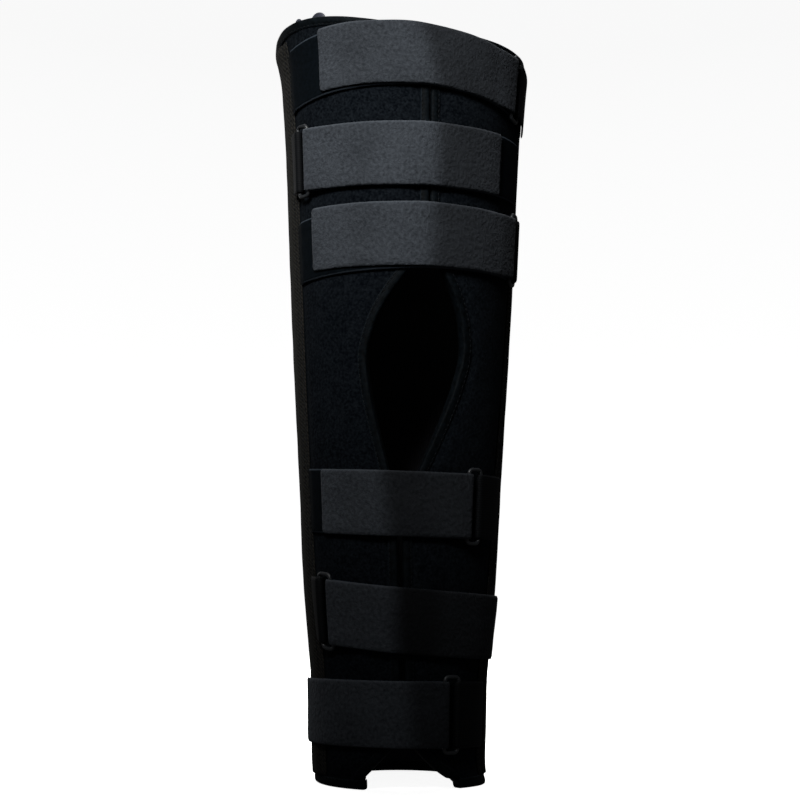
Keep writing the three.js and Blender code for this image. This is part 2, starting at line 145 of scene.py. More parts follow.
cove_rows = [
    (cove_radius - cove_bend * (1 - math.sin(turn)), cove_bend * (1 - math.cos(turn)))
    for turn in np.arange(0, 91, 6) * DEGREE
]
cove_rows.append((cove_radius, cove_height))
cove_points = [
    (reach * math.cos(turn) * MM, reach * math.sin(turn) * MM, level * MM)
    for reach, level in cove_rows
    for turn in np.arange(cove_sides) * 2 * math.pi / cove_sides
]
cove_faces = [tuple(range(cove_sides))]
for row in range(len(cove_rows) - 1):
    for first in range(cove_sides):
        second = (first + 1) % cove_sides
        low = row * cove_sides
        high = low + cove_sides
        cove_faces.append((low + second, low + first, high + first, high + second))
cove_mesh = bpy.data.meshes.new("white_cove")
cove_mesh.from_pydata(cove_points, [], cove_faces)
cove_mesh.shade_smooth()
cove = link_object("white_cove", cove_mesh)
cove.visible_diffuse = False
cove.visible_glossy = False
cove.visible_shadow = False
# Backlit white acrylic: a glow of its own, and matte enough to take a soft shadow.
acrylic = new_material(
    "backlit_white_acrylic", Base_Color=linear("#f5f5f4"), Roughness=0.9, Specular_IOR_Level=0.1,
    Emission_Color=linear("#ffffff"), Emission_Strength=0.9)[0]
cove_mesh.materials.append(acrylic)

# Wrap
# The real piece is one sheet of foam, faced outside with black brushed loop fabric and lined with black
# knit. It is cut with a window for the kneecap and an arch over the foot, bent round the leg, and left
# open down the front. The foam puffs up between the tapes, lies flatter under the straps, rises to a
# ridge where its two edges meet, and folds softly behind the knee.
brace_height = 584
high_corner_rise = 20.5
high_corner = {"angle": -62, "front_span": 88, "back_span": 56}
flare_height = 40
left_flare = 6
right_flare = 1.5
foam_thickness = 6
inside_rest = 0.5
foot_closure = 4
shin_closure = -0.5
thigh_closure = 21.5
shin_gap = 3.6
thigh_gap = 0.8
toe_kick = 7
toe_height = 26
toe_angle = 62
toe_span = 24
opening_bottom = 210
opening_height = 211
opening_width = 78
arch_height = 40
arch_width = 76
edge_rest = 1.3
tape_width = 6
pocket_width = 42
strap_width = 50
wrap_rows = 190
wrap_columns = 200
puff = 1.15
puff_reach = 9
strap_press = 0.45
strap_reach = 110
ridge_rise = 1.2
ridge_reach = 12
knee_fold_height = 290
knee_fold_span = 130
knee_fold_turns = (1.75, 2.3)
knee_fold_outside = 0.7
knee_fold_inside = 0.5

outline = {
    "at": [0.0, 0.05, 0.15, 0.26, 0.39, 0.52, 0.66, 0.86, 0.954, 1.05],
    "taper": [0.0, 0.045, 0.1, 0.285, 0.41, 0.555, 0.7, 0.876, 0.99, 1.1],
    "front": [1.0, 1.0, 1.0, 0.99, 0.99, 1.01, 1.02, 1.0, 1.0, 1.0],
    "back": [1.0, 1.01, 1.05, 1.07, 1.04, 0.98, 0.97, 0.99, 1.0, 1.0],
}
knee_opening = {
    "at": [0, 0.17, 0.29, 0.41, 0.47, 0.53, 0.59, 0.65, 0.71, 0.77, 0.82, 0.88, 0.94, 1],
    "spread": [0, 0.33, 0.57, 0.8, 0.89, 0.97, 1, 0.95, 0.87, 0.73, 0.58, 0.37, 0.18, 0],
}
foot_arch = {
    "at": [0, 0.17, 0.25, 0.4, 0.6, 0.78, 1],
    "left": [0.41, 0.42, 0.415, 0.325, 0.215, 0.12, 0],
    "right": [0.62, 0.54, 0.465, 0.335, 0.21, 0.12, 0],
}
pocket_edges = {
    "at": [0, 0.16, 0.38, 0.7, 0.86, 1],
    "left": [-57, -57.5, -63.3, -63.3, -64.5, -67],
    "right": [65, 66, 71, 79.5, 83.5, 87],
}
# Each strap's place is that of its solid: side is where its ring sits, -1 left and 1 right, fold and end are
# the angles of its bend in the ring and of its free end, height is a share of the brace's, tilt is in
# degrees, and droop and slip are shares of its width. Crease is where it turns over the closure's ridge, as
# a length round the front, and slant is how far that line leans. Its painted shading is a painted light level
# on its nap, for how much of the light reaches that strap, and its painted crease depth is how much painted
# shade darkens it past the crease, where it turns away from the light. Drawn is how far its upper edge is
# pulled in at the ring, in mm.
straps = [
    dict(name="thigh_strap_upper", side=1, fold=61.6, end=-39.8, height=0.97, tilt=2.05, droop=0.03,
         slip=0.08, crease=18, slant=0.3, painted_shading=0.95, painted_crease_depth=0.55, drawn=6),
    dict(name="thigh_strap_middle", side=-1, fold=-51.9, end=52.8, height=0.833, tilt=1.1, droop=-0.012,
         slip=0, crease=25, slant=0.05, painted_shading=1.07, painted_crease_depth=0.6, drawn=0),
    dict(name="thigh_strap_lower", side=1, fold=68.9, end=-47.8, height=0.725, tilt=0.6, droop=-0.004,
         slip=0.15, crease=21.5, slant=0, painted_shading=1.07, painted_crease_depth=0.57, drawn=0),
    dict(name="shin_strap_upper", side=1, fold=41.9, end=-46.8, height=0.3705, tilt=2.06, droop=-0.009,
         slip=0, crease=-12.5, slant=0.1, painted_shading=1.02, painted_crease_depth=0.66, drawn=0),
    dict(name="shin_strap_middle", side=-1, fold=-44.8, end=92, height=0.2195, tilt=5.5, droop=-0.01,
         slip=0, crease=-4.5, slant=0.05, painted_shading=0.92, painted_crease_depth=0.88, drawn=0),
    dict(name="shin_strap_lower", side=1, fold=31.8, end=-93, height=0.0985, tilt=1, droop=0.016,
         slip=0, crease=6.5, slant=0.1, painted_shading=1.02, painted_crease_depth=0.62, drawn=0),
]


def read_smooth(table, column, value):
    """A column of a table, read on a smooth curve through its rows."""
    at = np.array(table["at"], float)
    level = np.array(table[column], float)
    slope = np.concatenate(([level[1] - level[0]], level[2:] - level[:-2], [level[-1] - level[-2]]))
    slope /= np.concatenate(([at[1] - at[0]], at[2:] - at[:-2], [at[-1] - at[-2]]))
    row = np.clip(np.searchsorted(at, value, side="right") - 1, 0, len(at) - 2)
    span = at[row + 1] - at[row]
    share = np.clip((value - at[row]) / span, 0, 1)
    rise = level[row + 1] - level[row]
    first = slope[row] * span
    last = slope[row + 1] * span
    bend = 3 * rise - 2 * first - last
    return level[row] + share * (first + share * (bend + share * (first + last - 2 * rise)))


def half_width(height):
    taper = read_smooth(outline, "taper", height / brace_height)
    return (ankle_width + (thigh_width - ankle_width) * taper) / 2


def rim_rise(angle):
    """How much higher the upper rim stands at an angle: a smooth hump at the high corner."""
    apart = angle - high_corner["angle"] * DEGREE
    past = np.arctan2(np.sin(apart), np.cos(apart))
    span = np.where(past > 0, high_corner["front_span"], high_corner["back_span"]) * DEGREE
    return high_corner_rise * (1 + np.cos(np.pi * np.clip(np.abs(past) / span, 0, 1))) / 2


def on_brace(angle, height, lift):
    """The point at an angle round the brace, 0 at the front, a height, and a lift off the foam."""
    share = height / brace_height
    level = np.clip((height - brace_height - rim_rise(angle)) / flare_height + 1, 0, 1)
    flare = np.where(np.sin(angle) < 0, left_flare, right_flare) * level ** 2 * np.sin(angle) ** 2
    low = np.clip(1 - height / toe_height, 0, 1) ** 2
    kick = toe_kick * low * np.exp(-((angle - toe_angle * DEGREE) / (toe_span * DEGREE)) ** 2)
    width = half_width(height) + flare + kick
    front = read_smooth(outline, "front", share)
    back = read_smooth(outline, "back", share)
    depth = width * depth_ratio * np.where(np.cos(angle) > 0, front, back)
    out_x, out_y = np.sin(angle) / width, -np.cos(angle) / depth
    long = np.hypot(out_x, out_y)
    x = lean * (share - 0.5) + width * np.sin(angle) + out_x / long * lift
    y = -depth * np.cos(angle) + out_y / long * lift
    return np.stack(np.broadcast_arrays(x, y, height), -1) * MM + axis


def closure_line(height):
    """The length round the front from its middle to the line where the two flaps meet."""
    levels = [arch_height, opening_bottom, opening_bottom + opening_height]
    return np.interp(height, levels, [foot_closure, shin_closure, thigh_closure])


def closure_ridge(length, height):
    """How far the two flaps' edges push each other up where they meet."""
    return ridge_rise * np.exp(-((length - closure_line(height)) / ridge_reach) ** 2)


def flap_edge(height, side):
    """The length round the front from its middle to a flap's foam edge."""
    window = (height - opening_bottom) / opening_height
    window = np.where((window > 0) & (window < 1), read_smooth(knee_opening, "spread", window), 0)
    column = foot_arch["left" if side < 0 else "right"]
    arch = np.interp(height / arch_height, foot_arch["at"], column, right=0)
    closed = np.where(height < opening_bottom + opening_height / 2, shin_gap, thigh_gap) / 2
    gap = np.maximum(np.maximum(closed, window * opening_width / 2), arch * arch_width)
    return closure_line(height) + side * (gap + edge_rest)


def pocket_front(side, height):
    column = pocket_edges["left" if side < 0 else "right"]
    return np.interp(height / brace_height, pocket_edges["at"], column) * DEGREE


def strap_level(strap, angle):
    """The height of a strap's middle line at an angle."""
    reach = half_width(strap["height"] * brace_height) * angle
    tilt = math.tan(strap["tilt"] * DEGREE) * reach
    droop = strap["droop"] * strap_width * (reach / strap_width) ** 2
    return strap["height"] * brace_height - tilt - droop


def waves(along, across, length, seed):
    """Soft unevenness, between about -1 and 1: nine long waves with seeded directions."""
    total = 0
    for turn, phase, stretch in np.random.default_rng(seed).uniform(size=(9, 3)):
        way = 2 * math.pi * turn
        run = (along * math.cos(way) + across * math.sin(way)) / (length * (0.7 + 0.8 * stretch))
        total = total + np.sin(2 * math.pi * (run + phase))
    return total / 4.5


def ease(value, low, high):
    """0 below low, 1 above high, and a smooth step between."""
    share = np.clip((value - low) / (high - low), 0, 1)
    return share * share * (3 - 2 * share)


def make_piece(name, points, faces, patterns, materials, material_of=None):
    """A smooth mesh object. patterns holds each point's place in its cloth, in metres, as its UV."""
    mesh = bpy.data.meshes.new(name)
    mesh.from_pydata(np.asarray(points).reshape(-1, 3).tolist(), [], faces)
    for material in materials:
        mesh.materials.append(material)
    if material_of is not None:
        mesh.polygons.foreach_set("material_index", np.asarray(material_of, np.int32))
    corners = np.empty(len(mesh.loops), np.int32)
    mesh.loops.foreach_get("vertex_index", corners)
    layer = mesh.uv_layers.new(name="cloth")
    layer.data.foreach_set("uv", np.asarray(patterns, np.float32).reshape(-1, 2)[corners].ravel())
    mesh.shade_smooth()
    mesh.update()
    piece = link_object(name, mesh)
    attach(piece, "root")
    return piece


def grid_faces(rows, columns, start=0, turned=False):
    """The four-sided faces of a grid of points that are numbered row by row."""
    row, column = np.meshgrid(np.arange(rows - 1), np.arange(columns - 1), indexing="ij")
    first = (start + row * columns + column).ravel()
    faces = np.stack([first, first + 1, first + columns + 1, first + columns], -1)
    return faces[:, ::-1] if turned else faces


share_up = np.linspace(0, 1, wrap_rows)[:, None]
flat_height = edge_rest + (brace_height - edge_rest) * share_up
right_edge = flap_edge(flat_height, 1) / half_width(flat_height)
left_edge = flap_edge(flat_height, -1) / half_width(flat_height) + 2 * math.pi
share_round = np.linspace(0, 1, wrap_columns)[None, :]
wrap_angle = right_edge + (left_edge - right_edge) * share_round
rim_start = brace_height - 1.5 * flare_height
raised = np.clip((flat_height - rim_start) / (brace_height - rim_start), 0, 1)
wrap_height = flat_height + rim_rise(wrap_angle) * raised
wrap_radius = half_width(flat_height)
round_length = wrap_angle * wrap_radius
from_edges = np.minimum(round_length - right_edge * wrap_radius, left_edge * wrap_radius - round_length)
from_edges = np.minimum(from_edges, np.minimum(flat_height - edge_rest, brace_height - flat_height))
swell = ease(from_edges, tape_width, tape_width + puff_reach)
signed_angle = np.where(wrap_angle > math.pi, wrap_angle - 2 * math.pi, wrap_angle)
for side in (-1, 1):
    from_front = side * (signed_angle - pocket_front(side, flat_height)) * wrap_radius
    off_pocket = np.maximum(-from_front, from_front - pocket_width)
    swell = np.minimum(swell, ease(off_pocket, 0, puff_reach) * 1.15 - 0.15)
for strap in straps:
    off_strap = np.abs(wrap_height - strap_level(strap, signed_angle)) - strap_width / 2
    in_front = ease(np.abs(signed_angle) * wrap_radius, strap_reach + 8, strap_reach - 10)
    swell = swell * (1 - strap_press * in_front * (1 - ease(off_strap, -3, 7)))
unevenness = 0.2 * waves(round_length, wrap_height, 55, 4) + 0.1 * waves(round_length, wrap_height, 21, 5)
behind = ease(np.abs(signed_angle), *knee_fold_turns) * ease(from_edges, 10, 40)
near_knee = np.exp(-((wrap_height - knee_fold_height) / knee_fold_span) ** 2)
knee_fold = behind * waves(round_length * 0.35, wrap_height, 60, 9) * near_knee
ridge = closure_ridge(signed_angle * wrap_radius, flat_height)
outside_lift = swell * (puff + unevenness) + knee_fold_outside * knee_fold + ridge
inside_lift = -foam_thickness - 0.2 * swell + knee_fold_inside * knee_fold + ridge
outside = on_brace(wrap_angle, wrap_height, outside_lift)
inside = on_brace(wrap_angle, wrap_height, inside_lift)
wrap_pattern = np.stack([round_length, wrap_height], -1) * MM
count = wrap_rows * wrap_columns
border = np.concatenate([
    np.arange(wrap_columns),
    np.arange(1, wrap_rows) * wrap_columns + wrap_columns - 1,
    (wrap_rows - 1) * wrap_columns + np.arange(wrap_columns - 2, -1, -1),
    np.arange(wrap_rows - 2, 0, -1) * wrap_columns,
])
after = np.roll(border, -1)
wrap_faces = np.concatenate([
    grid_faces(wrap_rows, wrap_columns),
    grid_faces(wrap_rows, wrap_columns, count, turned=True),
    np.stack([after, border, border + count, after + count], -1),
])
wrap_slots = np.ones(len(wrap_faces), int)
wrap_slots[:(wrap_rows - 1) * (wrap_columns - 1)] = 0


def tone_ramp(tree, factor, *stops):
    """The colour that a factor gives, between stops of a place and a colour."""
    ramp = add_node(tree, "ShaderNodeValToRGB", {"Fac": factor})
    elements = ramp.color_ramp.elements
    for index, (place, colour) in enumerate(stops):
        stop = elements[index] if index < 2 else elements.new(place)
        stop.position = place
        stop.color = linear(colour)
    return ramp.outputs["Color"]


def add_relief(tree, shader, height, strength, distance):
    """Gives the shader a relief from a texture, over a distance in mm."""
    bump = add_node(tree, "ShaderNodeBump", {
        "Height": height, "Strength": strength, "Distance": distance * MM})
    tree.links.new(bump.outputs["Normal"], shader.inputs["Normal"])


def noise_scale(grain):
    """The noise texture's scale for grains of a width in mm."""
    return 1 / (grain * MM)


def rib_scale(pitch):
    """The wave texture's scale for ribs at a pitch in mm. At scale 1 its ribs are pi / 10 apart."""
    return math.pi / 10 / (pitch * MM)


# Brushed loop fabric, nylon: a dull black pile with a slight bloom, and a fine mottle where the loops
# lie different ways. The tufts of loops are drawn 2.1 mm wide, twice their size, or they would not show.
loop_fabric, tree, shader = new_material(
    "black_loop_fabric", Roughness=0.95, Sheen_Weight=0.01, Sheen_Roughness=0.6, Specular_IOR_Level=0.03)
shader.inputs["Sheen Tint"].default_value = linear("#9aa6b4")
place = add_node(tree, "ShaderNodeTexCoord").outputs["Object"]
loops = add_node(tree, "ShaderNodeTexNoise", {
    "Vector": place, "Scale": noise_scale(2.1), "Detail": 3.0, "Roughness": 0.6})
patches = add_node(tree, "ShaderNodeTexNoise", {
    "Vector": place, "Scale": noise_scale(22), "Detail": 3.0, "Distortion": 0.6})
blend = add_node(tree, "ShaderNodeMix", {
    "Factor": 0.18, "A": loops.outputs["Fac"], "B": patches.outputs["Fac"]})
tone = tone_ramp(tree, blend.outputs["Result"], (0.38, "#010306"), (0.66, "#13171b"))
tree.links.new(tone, shader.inputs["Base Color"])
add_relief(tree, shader, loops.outputs["Fac"], 0.8, 0.8)

# Warp-knit lining, polyester: flat black with fine upright ribs, drawn 2.2 mm apart so that they show.
lining, tree, shader = new_material("black_knit_lining", Roughness=0.85, Specular_IOR_Level=0.3)
cloth_place = add_node(tree, "ShaderNodeTexCoord").outputs["UV"]
ribs = add_node(tree, "ShaderNodeTexWave", {
    "Vector": cloth_place, "Scale": rib_scale(2.17), "Distortion": 0.6})
knit = add_node(tree, "ShaderNodeTexNoise", {"Vector": cloth_place, "Scale": noise_scale(1.8), "Detail": 2.0})
blend = add_node(tree, "ShaderNodeMix", {"Factor": 0.5, "A": ribs.outputs["Fac"], "B": knit.outputs["Fac"]})
tone = tone_ramp(tree, blend.outputs["Result"], (0.2, "#101215"), (0.8, "#1d2024"))
tree.links.new(tone, shader.inputs["Base Color"])
add_relief(tree, shader, blend.outputs["Result"], 0.4, 0.4)

wrap = make_piece(
    "foam_wrap", np.stack([outside, inside]), wrap_faces.tolist(), np.stack([wrap_pattern] * 2),
    (loop_fabric, lining), wrap_slots)
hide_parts("wrap")

# Edge tapes
# The real pieces are woven nylon tapes, folded over the foam's edges and sewn through with one row of
# lock stitches: round both rims, down both front edges, round the kneecap window and over the foot arch.
tape_end_gap = 0.4
tape_step = 2.2
tape_ripple = 0.12
ripple_length = 16
stitch_length = 3.0
stitch_gap = 1.1
thread_radius = 0.32
thread_sides = 6
stitch_inset = 4.9
stitch_lift = 0.95
stitch = {
    "at": [0.0, 0.12, 0.5, 0.88, 1.0],
    "plump": [0.35, 0.9, 1.1, 0.9, 0.35],
    "rise": [-0.5, 0.35, 0.7, 0.35, -0.5],
}

# A tape across its fold: how far each point stands past the foam's edge, and its lift off the foam. The
# tape's length is measured along one of them, at the middle of its outside.
tape_skin = [
    (-6.0, 0.1), (-5.9, 0.75), (-5.4, 1.08), (-4.9, 0.85), (-4.4, 1.1), (-2.4, 1.3), (-0.6, 1.28),
    (0.5, 0.95), (1.12, 0.1), (1.3, -1.2), (1.3, -3.2), (1.3, -5.4), (1.12, -6.5), (0.5, -7.4),
    (-0.6, -7.75), (-2.4, -7.8), (-4.4, -7.6), (-4.9, -7.35), (-5.4, -7.55), (-5.9, -7.2), (-6.0, -6.6),
]
tape_underside = [(-6.0, -6.3), (0.1, -6.3), (0.4, -3.2), (0.1, -0.1), (-6.0, -0.1)]
tape_section = np.array(tape_skin + tape_underside)
tape_run = np.concatenate([[0], np.cumsum(np.hypot(*np.diff(tape_section, axis=0).T))])
tape_middle = 5


def swept_faces(stations, around, loop=False):
    """Faces of a closed section that is repeated along a path, with a cap on each end unless it's a loop."""
    steps = stations if loop else stations - 1
    station, corner = np.meshgrid(np.arange(steps), np.arange(around), indexing="ij")
    ahead = (station + 1) % stations
    side = (corner + 1) % around
    faces = np.stack([
        station * around + corner,
        ahead * around + corner,
        ahead * around + side,
        station * around + side,
    ], -1).reshape(-1, 4).tolist()
    if not loop:
        last = (stations - 1) * around
        faces.append(list(range(around)))
        faces.append(list(range(last + around - 1, last - 1, -1)))
    return faces


def run_lengths(points):
    """The length along a row of points, in their own unit."""
    steps = np.linalg.norm(np.diff(points, axis=0), axis=-1)
    return np.concatenate([[0], np.cumsum(steps)])


def at_lengths(stops, lengths, rows):
    """The points, or directions, at some lengths along a row of them."""
    return np.stack([np.interp(stops, lengths, rows[:, k]) for k in range(rows.shape[1])], -1)


def unit(directions):
    return directions / np.linalg.norm(directions, axis=-1, keepdims=True)


def stitches_on(points, outwards):
    """Rings of points for a row of stitches along a path: each stitch is a short thick thread."""
    length = run_lengths(points)
    pitch = (stitch_length + stitch_gap) * MM
    starts = np.arange(pitch / 2, length[-1] - pitch, pitch)
    stops = starts[:, None] + np.array(stitch["at"]) * stitch_length * MM
    middle = at_lengths(stops, length, points)
    out = unit(at_lengths(stops, length, outwards))
    along = unit(middle[:, -1:] - middle[:, :1])
    across = np.cross(np.broadcast_to(along, out.shape), out)
    middle = middle + out * (np.array(stitch["rise"]) * thread_radius * MM)[None, :, None]
    turns = (np.arange(thread_sides) * 2 * math.pi / thread_sides)[None, None, :, None]
    reach = (np.array(stitch["plump"]) * thread_radius * MM)[None, :, None, None]
    return middle[:, :, None] + (across[:, :, None] * np.cos(turns) + out[:, :, None] * np.sin(turns)) * reach


def make_stitches(name, rows, material):
    """One piece that holds many rows of stitches."""
    rings = np.concatenate(rows)
    stations = rings.shape[1]
    one = swept_faces(stations, thread_sides)
    size = stations * thread_sides
    faces = [[corner + size * k for corner in face] for k in range(len(rings)) for face in one]
    return make_piece(name, rings, faces, np.zeros((rings.size // 3, 2)), (material,))


def skin_outwards(angle, height, lift):
    return on_brace(angle, height, lift + 1) - on_brace(angle, height, lift)


# Woven nylon tape: smooth and a little shinier than the fabric, with fine ribs across it, 1.1 mm apart, and
# a pale selvedge that catches the light.
edge_tape, tree, shader = new_material("woven_nylon_edge_tape", Roughness=0.65, Specular_IOR_Level=0.05)
cloth_place = add_node(tree, "ShaderNodeTexCoord").outputs["UV"]
ribs = add_node(tree, "ShaderNodeTexWave", {
    "Vector": cloth_place, "Scale": rib_scale(1.1), "Distortion": 0.3})
fuzz = add_node(tree, "ShaderNodeTexNoise", {"Vector": cloth_place, "Scale": noise_scale(4), "Detail": 4.0})
split = add_node(tree, "ShaderNodeSeparateXYZ", {"Vector": cloth_place})
selvedge = add_node(tree, "ShaderNodeMapRange", {
    "Value": split.outputs["Y"], "From Min": 1.6 * MM, "From Max": 0.9 * MM, "To Min": 0.0, "To Max": 0.5})
mixed = add_node(tree, "ShaderNodeMath", {
    0: selvedge.outputs["Result"], 1: fuzz.outputs["Fac"]}, operation="ADD")
tone = tone_ramp(tree, mixed.outputs["Value"], (0.35, "#000203"), (1.0, "#10161b"))
tree.links.new(tone, shader.inputs["Base Color"])
add_relief(tree, shader, ribs.outputs["Fac"], 0.5, 0.2)

# Bonded polyester thread: dark grey, with a dull shine.
thread = new_material(
    "bonded_polyester_thread", Base_Color=linear("#111315"), Roughness=0.6, Specular_IOR_Level=0.06)[0]


def make_tape(name, node, points):
    """A tape from rings of points, one round its section at each step along it."""
    along = run_lengths(points[:, tape_middle])
    pattern = np.stack(np.broadcast_arrays(along[:, None], tape_run[None, :] * MM), -1)
    piece = make_piece(name, points, swept_faces(*points.shape[:2]), pattern, (edge_tape,))
    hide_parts(node)


def stitch_tape(angle, height, ridge):
    """Sews a tape through: a row of stitches on its outside and one on its inside."""
    for lift, way in ((stitch_lift, 1), (-foam_thickness - inside_rest - stitch_lift, -1)):
        out = skin_outwards(angle, height, lift) * way
        tape_stitch_rows.append(stitches_on(on_brace(angle, height, lift + ridge), out))


tape_stitch_rows = []
rim_tapes = [
    dict(name="top_rim_tape", node="top_binding", base=brace_height, upwards=1),
    dict(name="bottom_rim_tape", node="bottom_binding", base=edge_rest, upwards=-1),
]
for rim in rim_tapes:
    radius = half_width(rim["base"])
    first = (flap_edge(rim["base"], 1) - edge_rest) / radius
    last = (flap_edge(rim["base"], -1) + edge_rest) / radius + 2 * math.pi
    angle = np.linspace(first, last, int((last - first) * radius / tape_step))[:, None]
    level = rim["base"] + (rim_rise(angle) if rim["upwards"] > 0 else 0)
    ripple = tape_ripple * waves(angle * radius, 0 * angle, ripple_length, 21)
    past, lift = tape_section.T[:, None, :]
    points = on_brace(angle, level + rim["upwards"] * past, lift + ripple * (lift > 0))
    make_tape(rim["name"], rim["node"], points)
    stitch_tape(angle[:, 0], (level - rim["upwards"] * stitch_inset + 0 * angle)[:, 0], 0)

flap_tapes = [
    dict(name="left_flap_tape", node="left_flap_binding", side=-1),
    dict(name="right_flap_tape", node="right_flap_binding", side=1),
]
for flap in flap_tapes:
    side = flap["side"]
    low = edge_rest + tape_width + tape_end_gap
    height = np.arange(low, brace_height - tape_width - tape_end_gap, tape_step / 3)
    edge = np.stack([flap_edge(height, side), height], -1)
    run = run_lengths(edge)
    even = np.linspace(0, run[-1], int(run[-1] / tape_step))
    edge = at_lengths(even, run, edge)
    along = np.gradient(edge, axis=0)
    for smoothing in range(3):
        along[1:-1] = (along[:-2] + along[1:-1] + along[2:]) / 3
    along = unit(along)
    inwards = np.stack([along[:, 1] * side, -along[:, 0] * side], -1)
    inwards[0] = inwards[-1] = (side, 0)
    past, lift = tape_section.T
    length, level = np.moveaxis(edge[:, None, :] - inwards[:, None, :] * past[None, :, None], -1, 0)
    ripple = tape_ripple * waves(even, 0 * even, ripple_length, 23 + side)[:, None] * (lift > 0)
    tape_lifts = lift[None, :] + ripple + closure_ridge(length, level)
    make_tape(flap["name"], flap["node"], on_brace(length / half_width(level), level, tape_lifts))
    length, level = (edge + inwards * stitch_inset).T
    stitch_tape(length / half_width(level), level, closure_ridge(length, level))

tape_stitches = make_stitches("tape_stitches", tape_stitch_rows, thread)

# Stay pockets
# The real pieces are two strips of heavy ribbed webbing, sewn down both sides along their edges. A flat
# metal stay slides into each, so its middle stands up and its sewn edges lie flat on the fabric.
pocket_rise = 3.2
pocket_edge_rise = 1.2
pocket_underside = 0.05
pocket_hem = (4.5, 12.5)
pocket_thread_lift = 0.05
stitch_sink = 0.22
clearance = 0.3
pocket_rows = 200
pocket_columns = 29
pocket_stitch_insets = (2.4, 7.6)

# Heavy cotton and nylon webbing: brown-black, dry and dusty, with coarse ribs that slant, 2.4 mm apart.
side_webbing, tree, shader = new_material(
    "brown_black_ribbed_webbing", Roughness=0.9, Specular_IOR_Level=0.08)
cloth_place = add_node(tree, "ShaderNodeTexCoord").outputs["UV"]
slanted = add_node(tree, "ShaderNodeMapping", {"Vector": cloth_place, "Rotation": (0, 0, 38 * DEGREE)})
twill = add_node(tree, "ShaderNodeTexWave", {
    "Vector": slanted.outputs["Vector"], "Scale": rib_scale(2.4), "Distortion": 1.2,
    "Detail": 2.0, "Detail Scale": 3.0})
dust = add_node(tree, "ShaderNodeTexNoise", {
    "Vector": cloth_place, "Scale": noise_scale(3), "Detail": 5.0, "Roughness": 0.7})
blend = add_node(tree, "ShaderNodeMix", {"Factor": 0.75, "A": twill.outputs["Fac"], "B": dust.outputs["Fac"]})
tone = tone_ramp(tree, blend.outputs["Result"], (0.3, "#0c0c0b"), (0.7, "#292825"))
tree.links.new(tone, shader.inputs["Base Color"])
add_relief(tree, shader, blend.outputs["Result"], 0.7, 0.5)


def pocket_bulge(inset):
    """How far a pocket's face stands off the foam, at a distance in from its edge."""
    return pocket_edge_rise + (pocket_rise - pocket_edge_rise) * ease(inset, *pocket_hem)


pockets = [
    dict(name="left_side_pocket", node="left_stay_pocket", side=-1),
    dict(name="right_side_pocket", node="right_stay_pocket", side=1),
]
pocket_stitch_rows = []
for pocket in pockets:
    side = pocket["side"]
    low = edge_rest + tape_width + tape_end_gap
    high = brace_height - tape_width - tape_end_gap
    flat_level = low + (high - low) * np.linspace(0, 1, pocket_rows)[:, None]
    across = np.linspace(0, 1, pocket_columns)
    across = np.concatenate([across, across[-2:0:-1]])[None, :]
    on_face = np.arange(across.shape[1])[None, :] < pocket_columns
    from_edge = np.minimum(across, 1 - across) * pocket_width
    full = pocket_bulge(from_edge) * (0.25 + 0.75 * ease(from_edge, -0.6, 0.9))
    full = full - stitch_sink * np.exp(-((from_edge - pocket_stitch_insets[0]) / 0.7) ** 2)
    round_way = side * across * pocket_width / half_width(flat_level)
    raised = np.clip((flat_level - rim_start) / (brace_height - rim_start), 0, 1)
    level = flat_level + rim_rise(pocket_front(side, flat_level) + round_way) * raised
    angle = pocket_front(side, level) + round_way
    full = full + 0.16 * waves(across * pocket_width, flat_level, 34, 31 + side) * ease(from_edge, 1, 6)
    points = on_brace(angle, level, np.where(on_face, full, pocket_underside))
    pattern = np.stack(np.broadcast_arrays(flat_level, across * pocket_width), -1) * MM
    faces = swept_faces(*points.shape[:2])
    piece = make_piece(pocket["name"], points, faces, pattern, (side_webbing,))
    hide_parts(pocket["node"])
    for inset in pocket_stitch_insets:
        for start in (inset, pocket_width - inset):
            line_way = (side * start / half_width(flat_level))[:, 0]
            line_level = flat_level[:, 0]
            line_level = line_level + rim_rise(pocket_front(side, line_level) + line_way) * raised[:, 0]
            line_angle = pocket_front(side, line_level) + line_way
            line = (line_angle, line_level, pocket_bulge(inset) + pocket_thread_lift)
            pocket_stitch_rows.append(stitches_on(on_brace(*line), skin_outwards(*line)))

pocket_stitches = make_stitches("pocket_stitches", pocket_stitch_rows, thread)

# Stay tips
# The real pieces are the ends of two flat spring-steel stays, dipped in vinyl so that they don't cut.
# They stand a few millimetres over the high corner of the rim, held against its inside.
stay_thickness = 2
stay_seat = 18
tip_cut = 0.3
tip_steps = 28
tip_sides = 24
stay_tips = [
    dict(node="front_stay_tip", angle=-46.4, width=17, rise=7.1),
    dict(node="side_stay_tip", angle=-62.8, width=12, rise=8),
]

# Dipped vinyl over steel: grey-violet, smooth and slightly waxy.
dipped_vinyl, tree, shader = new_material("dipped_grey_vinyl", Roughness=0.5, IOR=1.52)
place = add_node(tree, "ShaderNodeTexCoord").outputs["Object"]
cloud = add_node(tree, "ShaderNodeTexNoise", {"Vector": place, "Scale": noise_scale(5), "Detail": 4.0})
tone = tone_ramp(tree, cloud.outputs["Fac"], (0.3, "#1f2128"), (0.7, "#2f313d"))
tree.links.new(tone, shader.inputs["Base Color"])
add_relief(tree, shader, cloud.outputs["Fac"], 0.3, 0.4)

